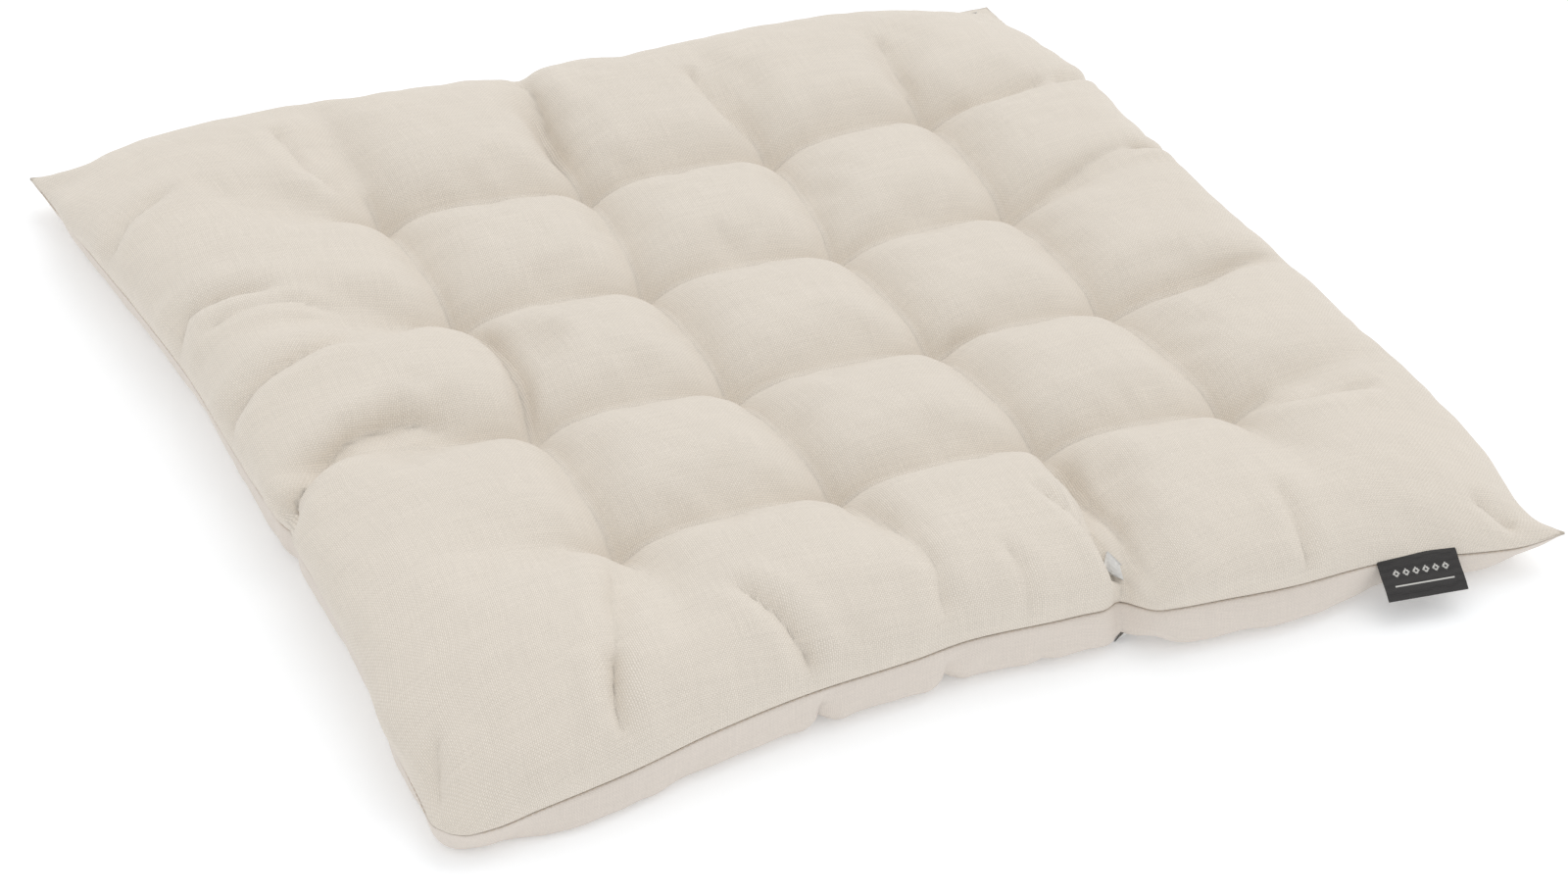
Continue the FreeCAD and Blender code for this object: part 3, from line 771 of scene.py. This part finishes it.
def makeTies(top, low):
    # three short strands at both ends of each tie, and one bar between them
    pieces = []
    allTurn, strandTurn, tieTurn = stitchForm["tieTurn"]
    for row in range(4):
        for column in range(4):
            x, y = tieRows[row][column]
            matrices = []
            for grid, side in ((top, 1), (low, -1)):
                gap = np.linalg.norm(grid[..., :2] - np.array([x, y]), axis=2)
                foot = grid[np.unravel_index(gap.argmin(), gap.shape)]
                for strand in (-1, 0, 1):
                    turn = allTurn + strandTurn * strand + tieTurn * (row - column)
                    forward = (math.cos(turn), math.sin(turn), 0)
                    shift = stitchForm["strandApart"] * strand
                    place = (foot[0] - shift * forward[1], foot[1] + shift * forward[0],
                             foot[2] + side * stitchForm["strandLift"])
                    matrices.append(turnTo(forward, (0, 0, side), place))
            matrices.append(turnTo((0, 0, 1), (1, 0, 0), (x, y, padForm["tieHeight"])))
            bar = modelStitch("tie", stitchForm["tieLength"], stitchForm["tieRadius"])
            name = f"tie_{column + 1}_{row + 1}"
            tie = copyAlong(bar, matrices, name)
            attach(tie, "cushion")
            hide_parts(f"tuft_tie_{column + 1}_{row + 1}")
            pieces.append(tie)
    return pieces


def makeClosing(seam):
    # hand stitches that close the gap the filling went in by, in the middle of the back
    back = seam[seam[:, 1] > 0.2]
    back = back[np.argsort(back[:, 0])]
    count = round(stitchForm["closingLength"] / stitchForm["closingPitch"])
    matrices = []
    for k in range(count):
        x = (k + 0.5 - count / 2) * stitchForm["closingPitch"]
        y = np.interp(x, back[:, 0], back[:, 1])
        z = np.interp(x, back[:, 0], back[:, 2])
        lean = stitchForm["closingLean"][k % 2]
        matrices.append(turnTo((lean, 0, 1), (0, 1, 0), (x, y + stitchForm["closingOut"], z)))
    stitch = modelStitch("closing", stitchForm["closingSpan"], stitchForm["closingRadius"])
    stitches = copyAlong(stitch, matrices, "closing_stitches")
    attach(stitches, "cushion")
    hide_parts("closing_stitch")
    return stitches


labelForm = {
    "width": 0.036,
    "reach": 0.018,  # what shows outside the seam
    "tail": 0.0075,
    "ribbon": 0.00032,
    "apart": 0.00024,  # half the gap between the two layers
    "droop": 35,
    "bend": 0.004,  # run over which the ribbon turns down
    "bendFrom": 0.001,  # it starts this far inside the hinge
    "steps": 34,
    "wave": 0.00025,
    "waveTurn": 9,
    "foldRound": 1.5,  # radius of the fold over the gap between the layers
}


def labelPath():
    # one long section of the folded ribbon: out over the top, round the fold and back below
    form = labelForm
    centre = []
    distance = -form["tail"]
    place = np.array([-form["tail"], 0.0])
    stride = (form["tail"] + form["reach"]) / form["steps"]
    for k in range(form["steps"] + 1):
        turned = np.clip((distance + form["bendFrom"]) / form["bend"], 0, 1)
        angle = -math.radians(form["droop"]) * turned * turned * (3 - 2 * turned)
        wave = form["wave"] * math.sin(form["waveTurn"] * k / form["steps"])
        normal = np.array([-math.sin(angle), math.cos(angle)])
        centre.append((place + normal * wave, normal))
        place = place + stride * np.array([math.cos(angle), math.sin(angle)])
        distance += stride
    upper = [p + n * form["apart"] for p, n in centre]
    lower = [p - n * form["apart"] for p, n in centre]
    tip, normal = centre[-1]
    along = np.array([normal[1], -normal[0]])
    fold = []
    for k in range(1, 6):
        turn = math.pi / 2 - math.pi * k / 6
        radius = form["apart"] * form["foldRound"]
        fold.append(tip + along * radius * math.cos(turn) + normal * radius * math.sin(turn))
    return upper + fold + lower[::-1]


def makeLabel(joint):
    form = labelForm
    hinge = Vector(joint["pos_m"])
    across = -Vector(joint["axis"])
    out = across.cross(Vector((0, 0, 1)))
    path = labelPath()
    bpy.ops.object.select_all(action="DESELECT")
    bpy.ops.mesh.primitive_plane_add(size=1)
    label = bpy.context.object
    label.name = "ribbon_label"
    start = path[0]
    half = form["width"] / 2
    corners = [hinge + across * x + out * start[0] + Vector((0, 0, start[1])) for x in (-half, half)]
    second = [c + out * (path[1][0] - start[0]) + Vector((0, 0, path[1][1] - start[1])) for c in corners]
    for vertex, place in zip(label.data.vertices, (corners[0], corners[1], second[0], second[1])):
        vertex.co = place
    bpy.ops.object.mode_set(mode="EDIT")
    bpy.ops.mesh.select_mode(type="EDGE")
    bpy.ops.mesh.select_all(action="DESELECT")
    bpy.ops.object.mode_set(mode="OBJECT")
    for edge in label.data.edges:
        edge.select = set(edge.vertices) == {2, 3}
    bpy.ops.object.mode_set(mode="EDIT")
    for before, after in zip(path[1:-1], path[2:]):
        step = out * (after[0] - before[0]) + Vector((0, 0, after[1] - before[1]))
        bpy.ops.mesh.extrude_region_move(TRANSFORM_OT_translate={"value": step})
    bpy.ops.mesh.select_all(action="SELECT")
    bpy.ops.mesh.subdivide(number_cuts=1)
    bpy.ops.mesh.normals_make_consistent(inside=False)
    bpy.ops.object.mode_set(mode="OBJECT")
    return label, hinge, across, out


def finishLabel(label, hinge, across, out):
    # thread directions for the weave, then the ribbon's own thickness
    path = np.array(labelPath())
    run = lengthAlong(path)
    points = readVectors(label.data, "co") - np.array(hinge)
    section = np.stack([points @ np.array(out), points[:, 2]], axis=1)
    gap = np.linalg.norm(section[:, None, :] - path[None, :, :], axis=2)
    place = np.stack([points @ np.array(across), run[gap.argmin(axis=1)]], axis=1)
    layer = label.data.uv_layers[0]
    layer.name = "clothRun"
    writeRun(label.data, layer, place)
    applyModifier(label, "SOLIDIFY", thickness=labelForm["ribbon"], offset=0)
    useOnly(label)
    bpy.ops.object.shade_smooth_by_angle(angle=math.radians(50))
    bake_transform(label)
    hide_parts("label_tail", "label_flap")
    return label


def newGroup(name, inputs, outputs):
    group = bpy.data.node_groups.new(name, "ShaderNodeTree")
    for label, kind, value in inputs:
        socket = group.interface.new_socket(label, in_out="INPUT", socket_type=kind)
        if value is not None:
            socket.default_value = value
    for label, kind in outputs:
        group.interface.new_socket(label, in_out="OUTPUT", socket_type=kind)
    return group, group.nodes.new("NodeGroupInput"), group.nodes.new("NodeGroupOutput")


def feed(tree, socket, value):
    if isinstance(value, bpy.types.NodeSocket):
        tree.links.new(value, socket)
    elif value is not None:
        socket.default_value = value


def calc(tree, operation, *values, clamp=False):
    node = tree.nodes.new("ShaderNodeMath")
    node.operation = operation
    node.use_clamp = clamp
    for socket, value in zip(node.inputs, values):
        feed(tree, socket, value)
    return node.outputs[0]


def mixColour(tree, share, first, second, blend="MIX"):
    node = tree.nodes.new("ShaderNodeMix")
    node.data_type = "RGBA"
    node.blend_type = blend
    feed(tree, node.inputs[0], share)
    feed(tree, node.inputs[6], first)
    feed(tree, node.inputs[7], second)
    return node.outputs[2]


def noise(tree, place, scale, detail=2.0, roughness=0.5):
    node = tree.nodes.new("ShaderNodeTexNoise")
    feed(tree, node.inputs["Vector"], place)
    node.inputs["Scale"].default_value = scale
    node.inputs["Detail"].default_value = detail
    node.inputs["Roughness"].default_value = roughness
    return node.outputs["Fac"]


def ramp(tree, value, low, high, bottom=0.0, top=1.0):
    node = tree.nodes.new("ShaderNodeMapRange")
    node.interpolation_type = "SMOOTHSTEP"
    feed(tree, node.inputs["Value"], value)
    for name, number in (("From Min", low), ("From Max", high), ("To Min", bottom), ("To Max", top)):
        node.inputs[name].default_value = number
    return node.outputs["Result"]


def combine(tree, x, y, z=0.0):
    node = tree.nodes.new("ShaderNodeCombineXYZ")
    for socket, value in zip(node.inputs, (x, y, z)):
        feed(tree, socket, value)
    return node.outputs[0]


def plus(tree, first, second):
    return calc(tree, "ADD", first, second)


def minus(tree, first, second):
    return calc(tree, "SUBTRACT", first, second)


def times(tree, first, second):
    return calc(tree, "MULTIPLY", first, second)


def unevenBy(tree, value, amount):
    # a noise of 0 to 1, centred and scaled
    return times(tree, minus(tree, value, 0.5), amount)


def makeWovenCloth():
    # plain weave from the cloth's own run: colour, height and roughness of warp and weft
    inputs = [("Run", "NodeSocketVector", None), ("Pitch", "NodeSocketFloat", 0.0008),
              ("Warp Colour", "NodeSocketColor", None), ("Weft Colour", "NodeSocketColor", None),
              ("Gap Shade", "NodeSocketFloat", 0.8), ("Slub", "NodeSocketFloat", 0.5)]
    outputs = [("Colour", "NodeSocketColor"), ("Height", "NodeSocketFloat"),
               ("Roughness", "NodeSocketFloat")]
    tree, given, result = newGroup("wovenCloth", inputs, outputs)
    split = tree.nodes.new("ShaderNodeSeparateXYZ")
    feed(tree, split.inputs[0], given.outputs["Run"])
    run, pitch = given.outputs["Run"], given.outputs["Pitch"]
    drift = unevenBy(tree, noise(tree, run, 160, 1), 1.1)
    u = plus(tree, calc(tree, "DIVIDE", split.outputs[0], pitch), drift)
    v = minus(tree, calc(tree, "DIVIDE", split.outputs[1], pitch), drift)
    waveU = calc(tree, "SINE", times(tree, u, math.pi))
    waveV = calc(tree, "SINE", times(tree, v, math.pi))
    over = times(tree, times(tree, waveU, waveV), 0.45)
    yarnU = calc(tree, "POWER", calc(tree, "ABSOLUTE", waveU), 0.6)
    yarnV = calc(tree, "POWER", calc(tree, "ABSOLUTE", waveV), 0.6)
    warp = times(tree, yarnU, plus(tree, 0.55, over))
    weft = times(tree, yarnV, minus(tree, 0.55, over))
    height = calc(tree, "MAXIMUM", warp, weft)
    warpOn = calc(tree, "GREATER_THAN", warp, weft)
    warpSlub = noise(tree, combine(tree, u, times(tree, v, 0.035)), 0.9, 3, 0.6)
    weftSlub = noise(tree, combine(tree, times(tree, u, 0.035), v, 7.3), 0.9, 3, 0.6)
    slub = tree.nodes.new("ShaderNodeMix")
    feed(tree, slub.inputs[0], warpOn)
    feed(tree, slub.inputs[2], weftSlub)
    feed(tree, slub.inputs[3], warpSlub)
    streak = unevenBy(tree, slub.outputs[0], given.outputs["Slub"])
    base = mixColour(tree, warpOn, given.outputs["Weft Colour"], given.outputs["Warp Colour"])
    cloudy = unevenBy(tree, noise(tree, run, 17, 3), 0.045)
    fine = unevenBy(tree, noise(tree, run, 900, 2), 0.12)
    level = plus(tree, plus(tree, plus(tree, 1.0, streak), cloudy), fine)
    depth = ramp(tree, height, 0.30, 0.80)
    gap = given.outputs["Gap Shade"]
    shade = plus(tree, gap, times(tree, depth, minus(tree, 1.0, gap)))
    tone = times(tree, level, shade)
    grey = combine(tree, tone, tone, tone)
    feed(tree, result.inputs["Colour"], mixColour(tree, 1.0, base, grey, "MULTIPLY"))
    feed(tree, result.inputs["Height"], plus(tree, height, times(tree, streak, 0.6)))
    feed(tree, result.inputs["Roughness"], minus(tree, 0.95, times(tree, depth, 0.10)))
    return tree


def makeTwist():
    # plied yarn: strands that turn round the thread, with a little fuzz
    inputs = [("Place", "NodeSocketVector", None), ("Light", "NodeSocketColor", None),
              ("Dark", "NodeSocketColor", None), ("Strands", "NodeSocketFloat", 1400.0)]
    outputs = [("Colour", "NodeSocketColor"), ("Height", "NodeSocketFloat")]
    tree, given, result = newGroup("pliedYarn", inputs, outputs)
    wave = tree.nodes.new("ShaderNodeTexWave")
    wave.bands_direction = "DIAGONAL"
    wave.inputs["Distortion"].default_value = 2.0
    wave.inputs["Detail"].default_value = 2.0
    feed(tree, wave.inputs["Vector"], given.outputs["Place"])
    feed(tree, wave.inputs["Scale"], given.outputs["Strands"])
    fuzz = noise(tree, given.outputs["Place"], 2600, 3, 0.7)
    blend = plus(tree, times(tree, wave.outputs["Fac"], 0.6), times(tree, fuzz, 0.4))
    colour = mixColour(tree, blend, given.outputs["Dark"], given.outputs["Light"])
    feed(tree, result.inputs["Colour"], colour)
    feed(tree, result.inputs["Height"], blend)
    return tree


def newMaterial(name, roughness, sheen, bumpStrength, bumpDistance):
    material = bpy.data.materials.new(name)
    material.use_nodes = True
    tree = material.node_tree
    shader = tree.nodes["Principled BSDF"]
    shader.inputs["Roughness"].default_value = roughness
    shader.inputs["Sheen Weight"].default_value = sheen
    shader.inputs["Sheen Roughness"].default_value = 0.6
    shader.inputs["Specular IOR Level"].default_value = 0.2
    bump = tree.nodes.new("ShaderNodeBump")
    bump.inputs["Strength"].default_value = bumpStrength
    bump.inputs["Distance"].default_value = bumpDistance
    tree.links.new(bump.outputs["Normal"], shader.inputs["Normal"])
    return material, tree, shader, bump


def placeGroup(tree, group, **values):
    node = tree.nodes.new("ShaderNodeGroup")
    node.node_tree = group
    for name, value in values.items():
        feed(tree, node.inputs[name.replace("_", " ")], value)
    return node


def clothCoordinate(tree):
    node = tree.nodes.new("ShaderNodeUVMap")
    node.uv_map = "clothRun"
    return node.outputs[0]


canvasFinish = {
    "canvasTop": {"warp": (0.842, 0.775, 0.688, 1), "weft": (0.782, 0.712, 0.618, 1), "gap": 0.80,
                  "slub": 0.26, "pitch": 0.00078, "bump": 0.55},
    "canvasUnder": {"warp": (0.785, 0.718, 0.650, 1), "weft": (0.760, 0.688, 0.620, 1), "gap": 0.88,
                    "slub": 0.22, "pitch": 0.00062, "bump": 0.30},
}


def makeCanvas(name, weave):
    finish = canvasFinish[name]
    material, tree, shader, bump = newMaterial(name, 0.92, 0.12, finish["bump"], 0.00022)
    cloth = placeGroup(tree, weave, Run=clothCoordinate(tree), Pitch=finish["pitch"],
                       Warp_Colour=finish["warp"], Weft_Colour=finish["weft"],
                       Gap_Shade=finish["gap"], Slub=finish["slub"])
    tree.links.new(cloth.outputs["Colour"], shader.inputs["Base Color"])
    tree.links.new(cloth.outputs["Roughness"], shader.inputs["Roughness"])
    tree.links.new(cloth.outputs["Height"], bump.inputs["Height"])
    return material


def objectCoordinate(tree):
    return tree.nodes.new("ShaderNodeTexCoord").outputs["Object"]


threadFinish = {
    "seamThread": {"roughness": 0.7, "bump": 0.0001, "light": (0.72, 0.62, 0.51, 1),
                   "dark": (0.56, 0.46, 0.36, 1)},
    "tieThread": {"roughness": 0.75, "bump": 0.00015, "light": (0.69, 0.62, 0.52, 1),
                  "dark": (0.52, 0.45, 0.36, 1)},
}


def makeThread(name, twist):
    finish = threadFinish[name]
    material, tree, shader, bump = newMaterial(name, finish["roughness"], 0.2, 0.4, finish["bump"])
    yarn = placeGroup(tree, twist, Place=objectCoordinate(tree), Light=finish["light"],
                      Dark=finish["dark"])
    tree.links.new(yarn.outputs["Colour"], shader.inputs["Base Color"])
    tree.links.new(yarn.outputs["Height"], bump.inputs["Height"])
    return material


def makeWadding():
    material, tree, shader, bump = newMaterial("wadding", 0.95, 0.3, 0.8, 0.0012)
    place = objectCoordinate(tree)
    lumps = noise(tree, place, 60, 4, 0.6)
    hairs = noise(tree, place, 700, 5, 0.75)
    blend = plus(tree, times(tree, lumps, 0.5), times(tree, hairs, 0.5))
    tree.links.new(mixColour(tree, blend, (0.74, 0.73, 0.70, 1), (0.93, 0.92, 0.90, 1)),
                   shader.inputs["Base Color"])
    tree.links.new(blend, bump.inputs["Height"])
    return material


ribbonFinish = {
    "ground": (0.036, 0.034, 0.034, 1),
    "weft": (0.050, 0.047, 0.046, 1),
    "motif": (0.62, 0.61, 0.58, 1),
    "repeat": 0.0045,
    "diamond": 0.0017,
    "rowAt": 0.0150,
    "lineAt": 0.0205,
    "halfRow": 0.0135,
    "hollow": 0.0007,
    "lineHalf": 0.00030,
    "pitch": 0.00034,
    "ribPitch": 0.00055,
}


def makeRibbon(weave):
    finish = ribbonFinish
    material, tree, shader, bump = newMaterial("labelRibbon", 0.62, 0.1, 0.5, 0.00012)
    run = clothCoordinate(tree)
    ground = placeGroup(tree, weave, Run=run, Pitch=finish["pitch"], Warp_Colour=finish["ground"],
                        Weft_Colour=finish["weft"], Gap_Shade=0.6, Slub=0.5)
    split = tree.nodes.new("ShaderNodeSeparateXYZ")
    feed(tree, split.inputs[0], run)
    u, v = split.outputs[0], split.outputs[1]
    within = calc(tree, "LESS_THAN", calc(tree, "ABSOLUTE", u), finish["halfRow"])
    fromEnd = plus(tree, u, finish["halfRow"])
    cell = calc(tree, "FRACT", calc(tree, "DIVIDE", fromEnd, finish["repeat"]))
    sideways = times(tree, calc(tree, "ABSOLUTE", minus(tree, cell, 0.5)), finish["repeat"])
    upwards = calc(tree, "ABSOLUTE", minus(tree, v, finish["rowAt"]))
    reach = plus(tree, sideways, upwards)
    diamond = calc(tree, "LESS_THAN", reach, finish["diamond"])
    hollow = calc(tree, "GREATER_THAN", reach, finish["hollow"])
    fromLine = calc(tree, "ABSOLUTE", minus(tree, v, finish["lineAt"]))
    line = calc(tree, "LESS_THAN", fromLine, finish["lineHalf"])
    figure = calc(tree, "MAXIMUM", times(tree, diamond, hollow), line)
    figure = times(tree, figure, within)
    rib = calc(tree, "SINE", times(tree, v, 2 * math.pi / finish["ribPitch"]))
    thread = plus(tree, 0.85, times(tree, rib, 0.15))
    bright = mixColour(tree, 1.0, finish["motif"], combine(tree, thread, thread, thread), "MULTIPLY")
    tree.links.new(mixColour(tree, figure, ground.outputs["Colour"], bright), shader.inputs["Base Color"])
    raised = plus(tree, ground.outputs["Height"], times(tree, figure, 0.5))
    tree.links.new(raised, bump.inputs["Height"])
    return material


def dress(piece, material):
    piece.data.materials.clear()
    piece.data.materials.append(material)


top, low, held, gridX, gridY = startShape()
top, low, points, faces = fillPad(top, low, held, gridX, gridY)
print("pad filled: highest", round(float(top[..., 2].max()), 4),
      "lowest", round(float(low[..., 2].min()), 4))
low = restOnSeat(low)
points = restOnSeat(points)
seamPlaces = borderLoop(*held.shape)
seam = top.reshape(-1, 3)[seamPlaces]
topPanel, underPanel = makePanels(top, low, held, seam)
print("panels sewn:", len(topPanel.data.polygons), len(underPanel.data.polygons), "faces")
fibre = makeFibre(points, faces, seamPlaces)
seamStitches = makeSeamStitches(seam)
ties = makeTies(top, low)
closing = makeClosing(seam)
print("stitched")
label = finishLabel(*makeLabel(frame["joints"][0]))
print("label set")

weave = makeWovenCloth()
twist = makeTwist()
dress(topPanel, makeCanvas("canvasTop", weave))
dress(underPanel, makeCanvas("canvasUnder", weave))
dress(fibre, makeWadding())
seamThread = makeThread("seamThread", twist)
tieThread = makeThread("tieThread", twist)
for piece in (seamStitches, closing):
    dress(piece, seamThread)
for piece in ties:
    dress(piece, tieThread)
dress(label, makeRibbon(weave))
print("materials made")

# table top, light and camera
studio = {
    "sky": 0.855,
    "sun": 0.66,
    "sunAngle": 55,
    "floorPaint": (0.88, 0.895, 0.91, 1),
    "floorGlow": 0.20,
    "floorSize": 40,
    "sunFrom": (0.75, 0.65, 1.35),
    "azimuth": -28.503,
    "elevation": 34.37,
    "roll": 4.276,
    "distance": 1.546,
    "target": (-0.0245, -0.0735, 0.015),
    "lens": 84.8,
}


def makeStudio():
    bpy.ops.mesh.primitive_plane_add(size=studio["floorSize"])
    floor = bpy.context.object
    floor.name = "floor"
    material, _, shader, _ = newMaterial("floorPaint", 0.9, 0.0, 0.0, 0.001)
    shader.inputs["Base Color"].default_value = studio["floorPaint"]
    shader.inputs["Emission Color"].default_value = (1, 1, 1, 1)
    shader.inputs["Emission Strength"].default_value = studio["floorGlow"]
    dress(floor, material)
    world = bpy.data.worlds.new("sky")
    world.use_nodes = True
    sky = world.node_tree.nodes["Background"]
    sky.inputs["Color"].default_value = (1, 1, 1, 1)
    sky.inputs["Strength"].default_value = studio["sky"]
    bpy.context.scene.world = world
    bpy.ops.object.light_add(type="SUN")
    sun = bpy.context.object
    sun.data.energy = studio["sun"]
    sun.data.angle = math.radians(studio["sunAngle"])
    sun.rotation_euler = Vector(studio["sunFrom"]).to_track_quat("Z", "Y").to_euler()
    bpy.context.scene.view_settings.view_transform = "Standard"


def makeCamera():
    angles = ("azimuth", "elevation", "roll")
    azimuth, elevation, roll = (math.radians(studio[name]) for name in angles)
    back = Vector((math.sin(azimuth) * math.cos(elevation), -math.cos(azimuth) * math.cos(elevation),
                   math.sin(elevation)))
    right = Vector((0, 0, 1)).cross(back).normalized()
    up = back.cross(right)
    tiltedRight = right * math.cos(roll) + up * math.sin(roll)
    tiltedUp = up * math.cos(roll) - right * math.sin(roll)
    place = Vector(studio["target"]) + back * studio["distance"]
    data = bpy.data.cameras.new("camera")
    data.lens = studio["lens"]
    data.sensor_width = 36
    camera = bpy.data.objects.new("camera", data)
    bpy.context.collection.objects.link(camera)
    camera.matrix_world = Matrix([(tiltedRight[k], tiltedUp[k], back[k], place[k]) for k in range(3)]
                                 + [(0, 0, 0, 1)])
    bpy.context.scene.camera = camera


makeStudio()
makeCamera()
print("studio ready")
